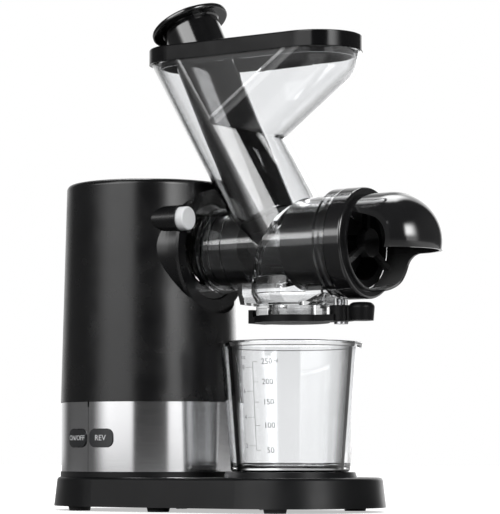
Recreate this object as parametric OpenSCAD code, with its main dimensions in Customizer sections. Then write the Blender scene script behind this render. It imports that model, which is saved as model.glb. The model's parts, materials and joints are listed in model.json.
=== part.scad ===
// Horizontal cold press juicer: a round motor housing on an oval base, with a clear drum,
// leaning feed hopper, pusher, hooded pulp spout and measuring cup.
// Everything is drawn about the axis of the motor housing and then moved, so that the origin
// lies on the table below the centre of the whole machine. +X points to the spout, +Z up,
// and the user stands on the -Y side.

/* [Base] */
// Width of the oval base
base_width = 108; // [106:1:120]
// Reach of the base behind the housing axis
base_rear = 55; // [54:0.5:62]
// Reach of the base in front of the cup axis
base_front = 53; // [46:0.5:60]
// Distance from the housing axis to the cup axis
cup_reach = 98; // [96:0.5:106]
// Height of the base shell
base_height = 16.5; // [14:0.5:24]
// How much wider the base is at its foot than at its top
base_flare = 1.6; // [0:0.1:3]
// Wall of the base shell
base_wall = 2.5; // [2:0.1:3.5]
// Height of the plinth and of the cup seat on the base
seat_height = 3; // [2:0.5:6]
// Height of the rubber feet below the base
foot_height = 2.5; // [1.5:0.5:6]
// Radius of one rubber foot
foot_radius = 6.5; // [5:0.5:8]

/* [Housing] */
// Outer radius of the steel band
band_radius = 50.7; // [50:0.1:51.5]
// Height of the steel band
band_height = 39.5; // [36:0.5:44]
// Sheet of the steel band
band_sheet = 0.8; // [0.5:0.1:1.2]
// Outer radius of the shell at its lower edge
shell_radius = 51.3; // [50.8:0.1:52.5]
// Outer radius of the shell at its top
shell_top_radius = 48.4; // [47.6:0.1:50]
// How far the top of the shell lies above the collar
shell_margin = 4.6; // [3:0.1:12]
// Wall of the shell
shell_wall = 2.4; // [2:0.1:3]
// Rounding of the top edge of the shell
shell_round = 3; // [1:0.5:5]

/* [Collar] */
// Height of the barrel axis above the table
axis_height = 147.4; // [145:0.2:150]
// Outer radius of the collar
collar_radius = 35.5; // [34.5:0.5:37]
// Distance of the collar's face from the housing axis
collar_face = 45.5; // [45:0.25:46.5]
// Radius of the socket for the drum
socket_radius = 27.5; // [27.2:0.1:28.5]
// Depth of the socket
socket_depth = 5; // [4.5:0.25:6]

/* [Drum] */
// Outer radius of the rear part of the barrel
barrel_radius = 22.6; // [22.2:0.1:23.4]
// Wall of the drum moulding
drum_wall = 2.2; // [1.8:0.1:2.4]
// Outer radius of the front part of the barrel
front_radius = 27.2; // [26.8:0.1:27.6]
// Radius of the front flange, the same as that of the end cap
flange_radius = 30.8; // [30:0.1:31.4]
// Width of the front flange
flange_width = 7.2; // [5:0.2:9]
// Distance of the front flange from the housing axis
flange_start = 132.4; // [131:0.2:136]
// Length of the threaded neck inside the end cap
neck_length = 6.4; // [5:0.2:7]

/* [Hopper] */
// Outer radius of the feed chute and of the hopper
chute_radius = 24.6; // [24.4:0.1:24.8]
// Lean of the feed chute, in degrees from upright
chute_lean = 31.1; // [30:0.1:32]
// Where the chute's axis meets the barrel axis, from the housing axis
chute_meet = 100.8; // [100.4:0.1:103]
// Height of the hopper mouth above the barrel axis, at the lower edge of its rim
mouth_rise = 108.8; // [104:0.2:114]
// Half width of the hopper's rim
mouth_radius = 25; // [24.9:0.1:25.5]
// Length of the hopper mouth
mouth_length = 136.7; // [133:0.5:143]
// Height of the black rim
rim_height = 9; // [6:0.5:12]
// Slope of the hopper's front wall, in degrees from upright
hopper_slope = 55; // [50:1:58]

/* [Pusher] */
// Outer radius of the pusher tube
pusher_radius = 16.5; // [15:0.1:16.6]
// Height of the pusher's lower end above the barrel axis, at rest
pusher_end = 15.8; // [15.8:0.1:30]
// Length of the pusher above the hopper mouth
pusher_rise = 27.8; // [25:0.2:50]
// Radius of the pusher's top flange
pusher_flange_radius = 22.9; // [21:0.1:24]

/* [Outlet] */
// Drop from the barrel axis to the lower face of the outlet flange
outlet_drop = 38.6; // [37.4:0.2:40.4]
// Radius of the outlet flange
outlet_radius = 20.3; // [18:0.1:22]
// Radius of the juice passage
outlet_bore = 10; // [7:0.5:12]
// Distance from the outlet axis to the lever's pivot
pivot_reach = 32.5; // [30:0.5:34]
// Thickness of the closing plate
plate_thickness = 3.6; // [3:0.1:4.5]

/* [Spout] */
// Outer radius of the hood
hood_radius = 27; // [26:0.1:27.4]
// Length of the hood's straight part
hood_straight = 15.5; // [10:0.5:20]
// Wall of the hood
hood_wall = 1.8; // [1.4:0.1:2.4]
// Distance of the hood's side opening from the barrel axis, at the ring
hood_side = 19.4; // [19:0.1:22]
// Turn of the side opening away from the barrel axis, in degrees
hood_turn = 9.7; // [0:0.1:11]
// How far below the barrel axis the hood's front edge lies
hood_drop = 5; // [3:0.5:8]
// Width of the end cap's ring
cap_width = 10.4; // [9:0.2:13]

/* [Cup] */
// Outer radius of the cup at its foot
cup_foot_radius = 33.2; // [31:0.1:34.5]
// Outer radius of the cup below its lip
cup_top_radius = 38.9; // [36:0.1:40]
// Radius of the cup's lip
cup_lip_radius = 40.7; // [40.5:0.1:42]
// Gap between the cup's lip and the closing lever
cup_gap = 10.8; // [8:0.2:24]
// Wall of the cup
cup_wall = 1.8; // [1.5:0.1:2.5]

/* [Buttons] */
// Width of a push button on the steel band
button_width = 15.5; // [12:0.5:16]
// Height of a push button
button_height = 10; // [8:0.5:12]
// Height of the push buttons above the table
button_level = 41; // [38:0.5:44]
// Direction of the button panel, in degrees from +X about +Z
panel_turn = -96; // [-102:1:-90]
// Angle of each button from the middle of the panel
button_spread = 10.4; // [10:0.1:12]
// Travel of a push button
button_travel = 2; // [1:0.5:2]
// Radius of the release button
release_radius = 6.7; // [6:0.1:7.2]
// Travel of the release button
release_travel = 4; // [2:0.5:4]

/* [Gear train] */
// Teeth of the three pinions
pinion_teeth = 12; // [12:1:12]
// Teeth of the first idler's wheel
first_teeth = 40; // [38:2:42]
// Teeth of the second idler's wheel
second_teeth = 44; // [42:2:44]
// Teeth of the output wheel
output_teeth = 46; // [44:2:46]
// Module of the first gear pair
first_module = 0.8; // [0.75:0.05:0.85]
// Module of the second gear pair
second_module = 1; // [0.95:0.05:1.05]
// Module of the third gear pair
third_module = 1.25; // [1.15:0.05:1.25]

/* [Motor] */
// Outer radius of the motor can
can_radius = 24; // [23:0.5:25]
// Length of the motor can
can_length = 38; // [37:0.5:39]
// Radius of the motor shaft
motor_shaft_radius = 2.5; // [2:0.1:3]
// Radius of the output shaft
drive_shaft_radius = 6; // [5.9:0.05:6.3]
// Size across flats of the drive hexagon
drive_hexagon = 10; // [9:0.1:10.2]

/* [Hidden] */
$fn = 96;
e = 0.01;                 // small overlap that makes a cut run past a face
seat_gap = 0.2;           // between pieces that rest on each other
slide_gap = 0.3;          // round pieces that slide or turn loosely
shaft_gap = 0.05;         // round a shaft in its bearing
black = [0.09, 0.09, 0.10];
charcoal = [0.22, 0.22, 0.24];
clear = [0.82, 0.86, 0.88, 0.4];
steel = [0.72, 0.73, 0.75];
light_grey = [0.80, 0.81, 0.82];
nylon = [0.90, 0.89, 0.84];
silicone = [0.78, 0.78, 0.76];

// Heights of the stacked housing parts
base_low = foot_height;
base_top = base_low + base_height;
seat_top = base_top + seat_height;
band_top = seat_top + band_height;
shell_top = axis_height + collar_radius + shell_margin;

// Oval base: circle centres and radii
base_radius = base_width / 2;
base_x0 = base_radius - base_rear;
base_x1 = cup_reach + base_front - base_radius;

// Gear train along the vertical line below the output shaft
third_centres = third_module * (pinion_teeth + output_teeth) / 2;
second_centres = second_module * (pinion_teeth + second_teeth) / 2;
first_centres = first_module * (pinion_teeth + first_teeth) / 2;
second_axis = axis_height - third_centres;
first_axis = second_axis - second_centres;
motor_axis = first_axis - first_centres;
case_back = -1;
case_plate = 2.5;
layer_gap = 1;
layer_a = case_back + case_plate + 1.5;
layer_width = 6.5;
layer_b = layer_a + layer_width + layer_gap;
layer_c = layer_b + layer_width + layer_gap;
case_front = layer_c + layer_width + 1.5;
cover_front = case_front + case_plate;
case_wall = 2;
case_top_radius = third_module * output_teeth / 2 + third_module + 1 + case_wall;
case_low_radius = first_module * first_teeth / 2 + first_module + 7.7 + case_wall;
case_low_axis = first_axis - 4.75;
ear_radius = 4.4;
screw_radius = 1.6;
idler_pin_radius = 3;
boss_radius = 9;
bush_radius = 8;
front_bush_end = cover_front + 4;

// Drum: positions along X from the housing axis
drum_start = collar_face - socket_depth + 1;
rear_wall_end = drum_start + 3;
drum_flange_radius = socket_radius - 0.7;
cap_start = flange_start + flange_width + slide_gap;
cap_end = cap_start + cap_width;
neck_radius = front_radius + 0.4;
neck_end = flange_start + flange_width + neck_length;
bore_radius = barrel_radius - drum_wall;
front_bore = front_radius - drum_wall;
step_lean = 27.2;         // slope of the step between the two barrel parts
step_x = flange_start - 36.7;
apex_x = step_x - 2;      // where the chute's two lower edges meet
apex_drop = 4;
arm_slope = 35;           // slope of the chute's rear lower edge

// Hopper
mouth_height = axis_height + mouth_rise;
mouth_margin = 1.2;
chute_mouth_x = chute_meet - mouth_rise * tan(chute_lean);
mouth_rear = chute_mouth_x - chute_radius / cos(chute_lean) - mouth_margin;
mouth_front = mouth_rear + mouth_length;
rim_top = mouth_height + rim_height;
rim_wall = 2.4;
hopper_top = mouth_height - seat_gap;
hopper_x0 = mouth_rear + mouth_radius;
hopper_x1 = mouth_front - mouth_radius;
knee_height = hopper_top + 2.5;
// the axes of the chute and of the sloping front wall meet here
cross_z = (chute_meet + axis_height * tan(chute_lean) - hopper_x1
           + knee_height * tan(hopper_slope)) / (tan(hopper_slope) + tan(chute_lean));
cross_x = chute_meet - (cross_z - axis_height) * tan(chute_lean);

// Pusher
pusher_wall = 2;
pusher_flange = 3;
pusher_side = 4.6;        // how far the pusher stands in front of the chute's axis, at the mouth
pusher_x = chute_mouth_x + pusher_side;
pusher_low_x = chute_meet - pusher_radius - 0.1;
pusher_lean = atan2(pusher_low_x - pusher_x, mouth_rise - pusher_end);
pusher_depth = (mouth_rise - pusher_end) / cos(pusher_lean);

// Outlet and lever
outlet_height = axis_height - outlet_drop;
outlet_x = cup_reach + 1.4;
outlet_flange = 5;
trough_rear = outlet_x - 27.6;
pivot_x = outlet_x + pivot_reach;
plate_top = outlet_height - seat_gap;
plate_low = plate_top - plate_thickness;
hub_radius = 6.6;
hub_top = plate_low + 8.6;
post_radius = 3.7;
pin_radius = 2;
pad_radius = outlet_radius - 4;
knob_radius = 7.2;
knob_x = pivot_x + 13.2;
latch_tab = 3;
latch_tab_x = outlet_x - outlet_radius - latch_tab - 1;

// Auger and strainer
auger_radius = bore_radius - 0.6;
neck_bore = 11.5;
auger_neck = neck_bore - 0.5;
hub_start = rear_wall_end + 2.5;
hub_end = hub_start + 29;
strainer_start = flange_start - 24.5;
strainer_end = neck_end;
strainer_outer = front_bore - 0.3;
strainer_inner = auger_radius + 0.5;
auger_end = flange_start + 4;
journal_radius = 5;
journal_end = cap_end - 0.5;

// Release button beside the collar
release_angle = 28.2;     // above the barrel axis, on the user's side
release_y = -collar_radius * cos(release_angle) * 0.99;
release_z = axis_height + collar_radius * sin(release_angle) * 0.99;
release_wall = 0.9;
latch_pin_radius = 1.8;
latch_y = -(socket_radius - 3.5) * cos(release_angle);
latch_z = axis_height + (socket_radius - 3.5) * sin(release_angle);
socket_floor = collar_face - socket_depth;
floor_wall = 3;
boss_floor = 2;
boss_floor_x = collar_face - 6;

// Frame and buttons
frame_radius = band_radius - band_sheet - 0.2;
frame_wall = 2.4;
frame_floor = 2.5;
frame_top = band_top + 6.5;
button_stand = 0.9;
button_gap = 0.3;
button_flange = 1.5;
board_face = 37.6;
board_sheet = 1.6;
gland_level = seat_top + 9;
gland_radius = 5.6;

// Cup
cup_height = plate_low - cup_gap - seat_top - seat_gap;

// Whole machine along X
machine_rear = -base_rear;
machine_front = cap_end + hood_straight + hood_radius;
mid_x = (machine_rear + machine_front) / 2;

// ---------------------------------------------------------------- shared shapes

// Moves the machine so that the origin is below its middle
module place() {
    translate([-mid_x, 0, 0]) children();
}

// Puts a shape drawn along +Z along +X, on the line y, z, from x
module along_x(x, y, z) {
    translate([x, y, z]) rotate([0, 90, 0]) children();
}

// A round bar along X
module bar_x(x0, x1, radius, y = 0, z = axis_height) {
    along_x(x0, y, z) cylinder(h = x1 - x0, r = radius);
}

// Sweeps a profile of radius and height round an oval with centres at x0 and x1
module oval(x0, x1) {
    translate([x0, 0, 0]) rotate(90) rotate_extrude(angle = 180) children();
    translate([x1, 0, 0]) rotate(-90) rotate_extrude(angle = 180) children();
    translate([x0, 0, 0]) rotate([90, 0, 90]) linear_extrude(x1 - x0) {
        children();
        mirror([1, 0]) children();
    }
}

// Points of an arc
function arc(x, y, r, a0, a1, steps = 8) =
    [for (i = [0:steps]) [x + r * cos(a0 + (a1 - a0) * i / steps),
                          y + r * sin(a0 + (a1 - a0) * i / steps)]];

// A rounded slot shape, wide along its first axis
module slot_shape(width, height, corner) {
    square([width - 2 * corner, height], center = true);
    square([width, height - 2 * corner], center = true);
    for (i = [-1, 1], j = [-1, 1])
        translate([i * (width / 2 - corner), j * (height / 2 - corner)]) circle(corner);
}

// Two circles on the vertical line of the gear train and the straight sides between them
module link_shape(h0, r0, h1, r1) {
    lean = asin((r1 - r0) / (h1 - h0));
    translate([-h0, 0]) circle(r0);
    translate([-h1, 0]) circle(r1);
    polygon([for (side = [-1, 1]) for (end = side < 0 ? [0, 1] : [1, 0])
        end == 0 ? [-h0 + r0 * sin(lean), side * r0 * cos(lean)]
                 : [-h1 + r1 * sin(lean), side * r1 * cos(lean)]]);
}

pressure = 25;
function involute(a) = tan(a) * 180 / PI - a;

// Half the angle that a tooth covers at radius r
function tooth_half(m, n, r, backlash) =
    90 / n - backlash / (m * n) * 180 / PI + involute(pressure)
    - involute(acos(min(1, m * n / 2 * cos(pressure) / max(r, m * n / 2 * cos(pressure)))));

// Spur gear outline; one tooth points along the first axis when turned by 0
module gear_shape(m, n, turn = 0, backlash = 0.16) {
    pitch = m * n / 2;
    tip = pitch + 0.9 * m;
    root = pitch - 1.25 * m;
    flank0 = max(root, pitch * cos(pressure));
    radii = concat([root], [for (k = [0:3]) flank0 + (tip - flank0) * k / 3]);
    polygon([for (i = [0:n - 1]) for (side = [-1, 1]) for (k = [0:4])
        let (r = radii[side < 0 ? k : 4 - k],
             a = turn + i * 360 / n + side * tooth_half(m, n, r, backlash))
        [r * cos(a), r * sin(a)]]);
}

// Turn that points a tooth, or a gap, at the gear above or below
function tooth_up(n) = n % 2 == 0 ? 0 : 180 / n;
function gap_down(n) = 180 / n;

// A screw along +Z from its head, which lies below z = 0
module screw(length, radius = screw_radius) {
    cylinder(h = length, r = radius, $fn = 32);
    difference() {
        translate([0, 0, -1.8]) cylinder(h = 1.8, r = radius * 1.9, $fn = 32);
        for (turn = [0, 90]) rotate(turn)
            translate([0, 0, -1.8]) cube([radius * 2.2, radius * 0.45, 1.6], center = true);
    }
}

// ---------------------------------------------------------------- base

function base_profile(inset, low, top) = concat(
    [[0, low], [base_radius - inset, low]],
    arc(base_radius - base_flare - inset - 2, top - 2, 2, 0, 90, 6),
    [[0, top]]);

foot_circle = base_radius - 9.7;
foot_reach = 18;
foot_side = sqrt(foot_circle * foot_circle - foot_reach * foot_reach);
plate_screws = [for (p = [[base_x0 - 39, 14], [base_x0 + 49, base_radius - 20],
                          [base_x1 + 7, base_radius - 20]], side = [-1, 1])
                [p[0], side * p[1]]];
frame_screws = [for (turn = [45:90:315]) [38 * cos(turn), 38 * sin(turn)]];
feet = [for (p = [[base_x0 - foot_reach, foot_side], [base_x0 + 40, foot_circle - 0.8],
                  [base_x1 + foot_reach, foot_side]], side = [-1, 1]) [p[0], side * p[1]]];

module base_tray() {
    color(charcoal) difference() {
        union() {
            difference() {
                oval(base_x0, base_x1) polygon(base_profile(0, base_low, base_top));
                oval(base_x0, base_x1)
                    polygon(base_profile(base_wall, base_low - e, base_top - base_wall));
            }
            translate([0, 0, base_top - e]) cylinder(h = seat_height + e, r = band_radius + 0.5);
            translate([cup_reach, 0, base_top - e])
                cylinder(h = seat_height + e, r1 = cup_foot_radius + 4, r2 = cup_foot_radius + 3);
            for (p = plate_screws) translate([p[0], p[1], base_low + 2])
                cylinder(h = base_height - base_wall - 1.9, r = 4, $fn = 32);
        }
        // the frame of the housing stands inside the plinth
        translate([0, 0, base_top]) cylinder(h = seat_height + 1, r = frame_radius + 0.1);
        for (p = plate_screws) translate([p[0], p[1], base_low - e])
            cylinder(h = base_height - base_wall, r = screw_radius + 0.1, $fn = 32);
        for (p = frame_screws) translate([p[0], p[1], base_low])
            cylinder(h = base_height + 1, r = screw_radius + 0.2, $fn = 32);
    }
}

module bottom_plate() {
    color(charcoal) difference() {
        oval(base_x0, base_x1) polygon([
            [0, base_low], [base_radius - base_wall - 1, base_low],
            [base_radius - base_wall - 1, base_low + 1.8], [0, base_low + 1.8]]);
        for (p = plate_screws) translate([p[0], p[1], base_low - e]) {
            cylinder(h = 3, r = screw_radius + 0.2, $fn = 32);
            cylinder(h = 1, r = screw_radius * 2 + 0.2, $fn = 32);
        }
        for (p = feet) translate([p[0], p[1], base_low - e])
            cylinder(h = 3, r = 2.2, $fn = 32);
        // grille below the motor
        for (row = [-2:2]) translate([0, row * 7, base_low + 0.9])
            cube([34, 2.4, 3], center = true);
    }
}

module rubber_feet() {
    color([0.12, 0.12, 0.12]) for (p = feet) translate([p[0], p[1], 0]) {
        cylinder(h = foot_height - 0.1, r1 = foot_radius - 0.6, r2 = foot_radius, $fn = 48);
        cylinder(h = foot_height + 1.8, r = 2.1, $fn = 32);
        translate([0, 0, foot_height + 1.9]) cylinder(h = 1.2, r1 = 3.2, r2 = 2.2, $fn = 32);
        translate([0, 0, foot_height + 1.7]) cylinder(h = 0.3, r = 2.1, $fn = 32);
    }
}

module base_screws() {
    color(steel) {
        for (p = plate_screws) translate([p[0], p[1], base_low + 0.95]) screw(8);
        for (p = frame_screws) translate([p[0], p[1], base_top - base_wall - 0.1]) screw(8);
    }
}

// ---------------------------------------------------------------- housing

// Turns to the direction of a button and draws its outline outward along the radius
module button_cut(turn, grow, r0, r1) {
    rotate([0, 0, turn]) along_x(r0, 0, button_level) linear_extrude(r1 - r0)
        rotate(90) slot_shape(button_width + 2 * grow, button_height + 2 * grow, 3.6 + grow);
}

module button_windows(grow) {
    for (side = [-1, 1])
        button_cut(panel_turn + side * button_spread, grow, 40, band_radius + 3);
}

module inner_frame() {
    post = 3.5;
    color(charcoal) difference() {
        union() {
            difference() {
                union() {
                    translate([0, 0, base_top]) cylinder(h = band_top - base_top, r = frame_radius);
                    translate([0, 0, band_top - e])
                        cylinder(h = frame_top - band_top,
                                 r = shell_radius - shell_wall - slide_gap - 0.2);
                }
                translate([0, 0, base_top + frame_floor])
                    cylinder(h = frame_top, r = frame_radius - frame_wall);
            }
            // cradle under the motor can
            difference() {
                translate([-can_length + 6, -16, base_top])
                    cube([8, 32, motor_axis - can_radius * 0.8 - base_top]);
                bar_x(-can_length, 0, can_radius + slide_gap, 0, motor_axis);
            }
            for (p = frame_screws) translate([p[0], p[1], base_top])
                cylinder(h = 12, r = 4, $fn = 32);
            // guides that hold the switch board
            rotate([0, 0, panel_turn]) for (side = [-1, 1])
                translate([board_face + 0.1, side * 17 - post / 2, base_top])
                    cube([5, post, button_level + 8 - base_top]);
        }
        button_windows(button_gap);
        for (p = frame_screws) translate([p[0], p[1], base_top - e])
            cylinder(h = 9, r = screw_radius + 0.1, $fn = 32);
        bar_x(-band_radius - 5, -band_radius + 8, gland_radius + 0.2, 0, gland_level);
    }
}

module steel_band() {
    color(steel) difference() {
        translate([0, 0, seat_top + 0.1]) cylinder(h = band_height - 0.2, r = band_radius);
        translate([0, 0, seat_top]) cylinder(h = band_height, r = band_radius - band_sheet);
        button_windows(button_gap);
        bar_x(-band_radius - 5, -band_radius + 8, gland_radius + 0.2, 0, gland_level);
        // butt seam of the rolled sheet, with its notch
        rotate([0, 0, panel_turn]) {
            translate([band_radius - 3, -0.12, seat_top]) cube([6, 0.24, band_height]);
            translate([band_radius - 3, -0.6, band_top - 2.9]) cube([6, 1.2, 4]);
        }
    }
}

function shell_profile(inset, low, top) = concat(
    [[0, low], [shell_radius - inset, low]],
    arc(shell_top_radius - inset - shell_round, top - shell_round, shell_round, 0, 90),
    [[0, top]]);

// The flared collar, as radius over distance from the housing axis
function collar_profile() = concat(
    [[0, 20], [collar_radius + 3.2, 20]],
    [for (i = [0:6]) let (t = i / 6)
        [collar_radius + 3.2 * pow(1 - t, 2), collar_face - 17 + 13 * t]],
    [[collar_radius, collar_face - 1.2], [collar_radius - 1.2, collar_face], [0, collar_face]]);

ears = [[30.5, axis_height - 23.4], [25, axis_height + 24.1], [29.5, first_axis - 4.75]];

// Thick front of the shell behind the collar's face, round the socket and the release button
module shell_front() {
    bar_x(collar_face - 2.6, collar_face + 20, collar_radius + 3);
    bar_x(socket_floor - floor_wall, collar_face + 20, socket_radius + 2.5);
    bar_x(boss_floor_x - boss_floor, collar_face + 20, release_radius + 2.5,
          release_y, release_z);
    // pillars that carry the gear case
    for (ear = [ears[0], ears[1]], side = [-1, 1])
        bar_x(cover_front + 0.1, collar_face + 20, ear_radius, side * ear[0], ear[1]);
}

module housing_shell() {
    color(black) difference() {
        union() {
            rotate_extrude() polygon(shell_profile(0, band_top, shell_top));
            along_x(0, 0, axis_height) rotate_extrude() polygon(collar_profile());
            bar_x(20, collar_face, release_radius + release_wall + 0.2, release_y, release_z);
        }
        difference() {
            rotate_extrude()
                polygon(shell_profile(shell_wall, band_top - e, shell_top - shell_wall));
            shell_front();
        }
        // the face of the collar is cut flat into the front of the shell
        bar_x(collar_face, collar_face + 20, collar_radius);
        bar_x(socket_floor, collar_face + 10, socket_radius);
        bar_x(socket_floor - floor_wall - 1, socket_floor + 1, boss_radius);
        bar_x(boss_floor_x, collar_face + 10, release_radius + 0.25, release_y, release_z);
        bar_x(boss_floor_x - boss_floor - 3, boss_floor_x + 1, 2.3, release_y, release_z);
        bar_x(socket_floor - floor_wall - 1, socket_floor + 1, latch_pin_radius + 0.4,
              latch_y, latch_z);
        for (ear = [ears[0], ears[1]], side = [-1, 1])
            bar_x(cover_front, cover_front + 5, screw_radius + 0.1, side * ear[0], ear[1]);
        // room for the latch arm
        along_x(cover_front + 0.5, 0, 0) linear_extrude(boss_floor_x - boss_floor - cover_front - 0.5)
            translate([-(release_z + latch_z) / 2, (release_y + latch_y) / 2])
                rotate(atan2(latch_y - release_y, release_z - latch_z)) square([19, 8], center = true);
    }
}

module cord_gland() {
    color([0.12, 0.12, 0.12]) difference() {
        union() {
            bar_x(-band_radius - 3.3, -band_radius + 6, gland_radius, 0, gland_level);
            bar_x(-band_radius - 1.6, -band_radius - 0.2, gland_radius + 2, 0, gland_level);
        }
        bar_x(-band_radius - 9, -band_radius + 9, 3.3, 0, gland_level);
    }
}

// ---------------------------------------------------------------- buttons and latch

module push_button(side) {
    turn = panel_turn + side * button_spread;
    color([0.16, 0.17, 0.18]) union() {
        intersection() {
            button_cut(turn, 0, frame_radius - frame_wall - 2, band_radius + 4);
            cylinder(h = shell_top, r = band_radius + button_stand);
        }
        // tabs that catch behind the frame above and below the window
        rotate([0, 0, turn])
            translate([frame_radius - frame_wall - 3.2, -4, button_level - button_height / 2 - 1.6])
                cube([button_flange, 8, button_height + 3.2]);
    }
}

module power_button() { push_button(-1); }
module reverse_button() { push_button(1); }

module switch_board() {
    switch_tip = frame_radius - frame_wall - 3.2 - button_travel - 1.3;
    rotate([0, 0, panel_turn]) {
        color([0.10, 0.35, 0.20])
            translate([board_face - board_sheet, -19, button_level - 11])
                cube([board_sheet, 38, 22]);
        color(black) for (side = [-1, 1])
            translate([board_face - e, side * 7.6, button_level]) {
                translate([0, -3, -3]) cube([2.6, 6, 6]);
                along_x(0, 0, 0) cylinder(h = switch_tip - board_face, r = 1.6, $fn = 32);
            }
    }
}

module release_button() {
    color(light_grey) difference() {
        along_x(collar_face - 1.4, release_y, release_z) rotate_extrude()
            polygon(concat([[0, 0], [release_radius, 0]],
                           arc(release_radius - 1, 5.4, 1, 0, 90, 5), [[0, 6.4]]));
        bar_x(collar_face - 2, collar_face + 3.2, release_radius - 1.1, release_y, release_z);
    }
}

module latch_arm() {
    arm_x = boss_floor_x - boss_floor - 0.3;
    color(black) {
        bar_x(arm_x - 2.7, collar_face + 3, 2, release_y, release_z);
        bar_x(arm_x - 2.7, socket_floor + 3.4, latch_pin_radius, latch_y, latch_z);
        along_x(arm_x - 2.7, 0, 0) linear_extrude(2.7) {
            translate([-release_z, release_y]) circle(3);
            translate([-latch_z, latch_y]) circle(3);
            translate([-(release_z + latch_z) / 2, (release_y + latch_y) / 2])
                rotate(atan2(latch_y - release_y, release_z - latch_z))
                    square([norm([latch_y - release_y, latch_z - release_z]), 6], center = true);
        }
    }
}

// Coil spring round the stem of the latch, inside the hollow release button; the flat shape
// is the section of its wire across the axis, so that the turns come out round
module release_spring() {
    wire = 0.4;
    coil = 3.9;
    turns = 3.5;
    length = collar_face + 3 - boss_floor_x - 0.6;
    half = wire * turns * 360 / length;
    color(steel) along_x(boss_floor_x + 0.2, release_y, release_z)
        linear_extrude(height = length, twist = -360 * turns, slices = 48, $fn = 18)
            polygon([for (side = [1, -1]) for (i = [0:8])
                let (a = side * (i / 8 * 2 - 1),
                     r = coil + side * wire * sqrt(max(0.01, 1 - a * a)))
                [r * cos(a * half), r * sin(a * half)]]);
}

// ---------------------------------------------------------------- gear case

module case_shape(grow) {
    link_shape(case_low_axis, case_low_radius + grow, axis_height, case_top_radius + grow);
}

module ear_shapes() {
    for (ear = ears, side = [-1, 1]) translate([-ear[1], side * ear[0]]) circle(ear_radius);
}

module ear_holes(x0, x1) {
    for (ear = ears, side = [-1, 1])
        bar_x(x0, x1, screw_radius + 0.1, side * ear[0], ear[1]);
}

module gear_case() {
    color(nylon) difference() {
        union() {
            along_x(case_back, 0, 0) linear_extrude(case_front - case_back) {
                case_shape(0);
                ear_shapes();
            }
            bar_x(case_back - 4, case_back + e, boss_radius + 2);
        }
        along_x(case_back + case_plate, 0, 0)
            linear_extrude(case_front - case_back) case_shape(-case_wall);
        bar_x(case_back - 5, case_front, bush_radius + 0.05);
        bar_x(case_back - 1, case_front, idler_pin_radius + 0.02, 0, first_axis);
        bar_x(case_back - 1, case_front, idler_pin_radius + 0.02, 0, second_axis);
        bar_x(case_back - 1, case_front, motor_shaft_radius + 0.6, 0, motor_axis);
        ear_holes(case_back - 1, case_front + 1);
    }
}

module gear_cover() {
    color(nylon) difference() {
        union() {
            along_x(case_front + 0.1, 0, 0) linear_extrude(case_plate - 0.1) {
                case_shape(0);
                ear_shapes();
            }
            bar_x(cover_front - e, front_bush_end, boss_radius + 2);
        }
        bar_x(case_front - 1, front_bush_end + 1, bush_radius + 0.05);
        bar_x(case_front - 1, cover_front + 1, idler_pin_radius + 0.02, 0, first_axis);
        bar_x(case_front - 1, cover_front + 1, idler_pin_radius + 0.02, 0, second_axis);
        ear_holes(case_front - 1, cover_front + 1);
    }
}

module gear_screws() {
    color(steel) for (ear = ears, side = [-1, 1])
        along_x(case_back - 0.05, side * ear[0], ear[1])
            screw(ear == ears[2] ? cover_front - case_back : cover_front - case_back + 4.5);
}

module idler_pins() {
    color(steel) for (z = [first_axis, second_axis])
        bar_x(case_back, cover_front, idler_pin_radius, 0, z);
}

module shaft_bushes() {
    color([0.72, 0.55, 0.30]) for (x = [[case_back - 4, case_back + 2.5],
                                        [cover_front - 2.5, front_bush_end]])
        difference() {
            bar_x(x[0], x[1], bush_radius);
            bar_x(x[0] - 1, x[1] + 1, drive_shaft_radius + shaft_gap);
        }
}

module socket_seal() {
    color(silicone) difference() {
        bar_x(socket_floor - floor_wall + 0.2, socket_floor - 0.2, boss_radius - 0.1);
        bar_x(socket_floor - floor_wall - 1, socket_floor + 1, drive_shaft_radius + 0.2);
    }
}

// A wheel along X with a smaller pinion in front of it, bored for its pin
module idler(x, m0, n0, m1, z) {
    color(nylon) difference() {
        union() {
            along_x(x, 0, z) linear_extrude(layer_width) gear_shape(m0, n0, gap_down(n0));
            along_x(x + layer_width - e, 0, z) linear_extrude(layer_width + layer_gap)
                gear_shape(m1, pinion_teeth, tooth_up(pinion_teeth));
        }
        bar_x(x - 1, x + 30, idler_pin_radius + shaft_gap, 0, z);
        // the web between rim and hub is thinner
        along_x(x - e, 0, z) linear_extrude(1.5) difference() {
            circle(m0 * n0 / 2 - 3.5);
            circle(idler_pin_radius + 2.5);
        }
    }
}

module first_idler() {
    idler(layer_a, first_module, first_teeth, second_module, first_axis);
}

module second_idler() {
    idler(layer_b, second_module, second_teeth, third_module, second_axis);
}

module output_gear() {
    rim = third_module * output_teeth / 2 - 4;
    color(nylon) difference() {
        along_x(layer_c, 0, axis_height) linear_extrude(layer_width)
            gear_shape(third_module, output_teeth, gap_down(output_teeth));
        bar_x(layer_c - 1, layer_c + layer_width + 1, drive_shaft_radius + 0.03);
        for (x = [layer_c - e, layer_c + layer_width - 1.8])
            along_x(x, 0, axis_height) linear_extrude(1.81) difference() {
                circle(rim);
                circle(drive_shaft_radius + 4);
            }
        for (turn = [0:60:300]) along_x(layer_c - 1, 0, axis_height) rotate(turn)
            translate([(rim + drive_shaft_radius + 4) / 2, 0]) cylinder(h = 20, r = 3.6);
    }
}

module drive_shaft() {
    color(steel) difference() {
        union() {
            bar_x(case_back - 4, socket_floor + 0.5, drive_shaft_radius);
            along_x(socket_floor, 0, axis_height)
                cylinder(h = 15, r = drive_hexagon / 2 / cos(30), $fn = 6);
        }
        bar_x(socket_floor + 10, socket_floor + 16, 1.5);
    }
}

// ---------------------------------------------------------------- motor

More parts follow.
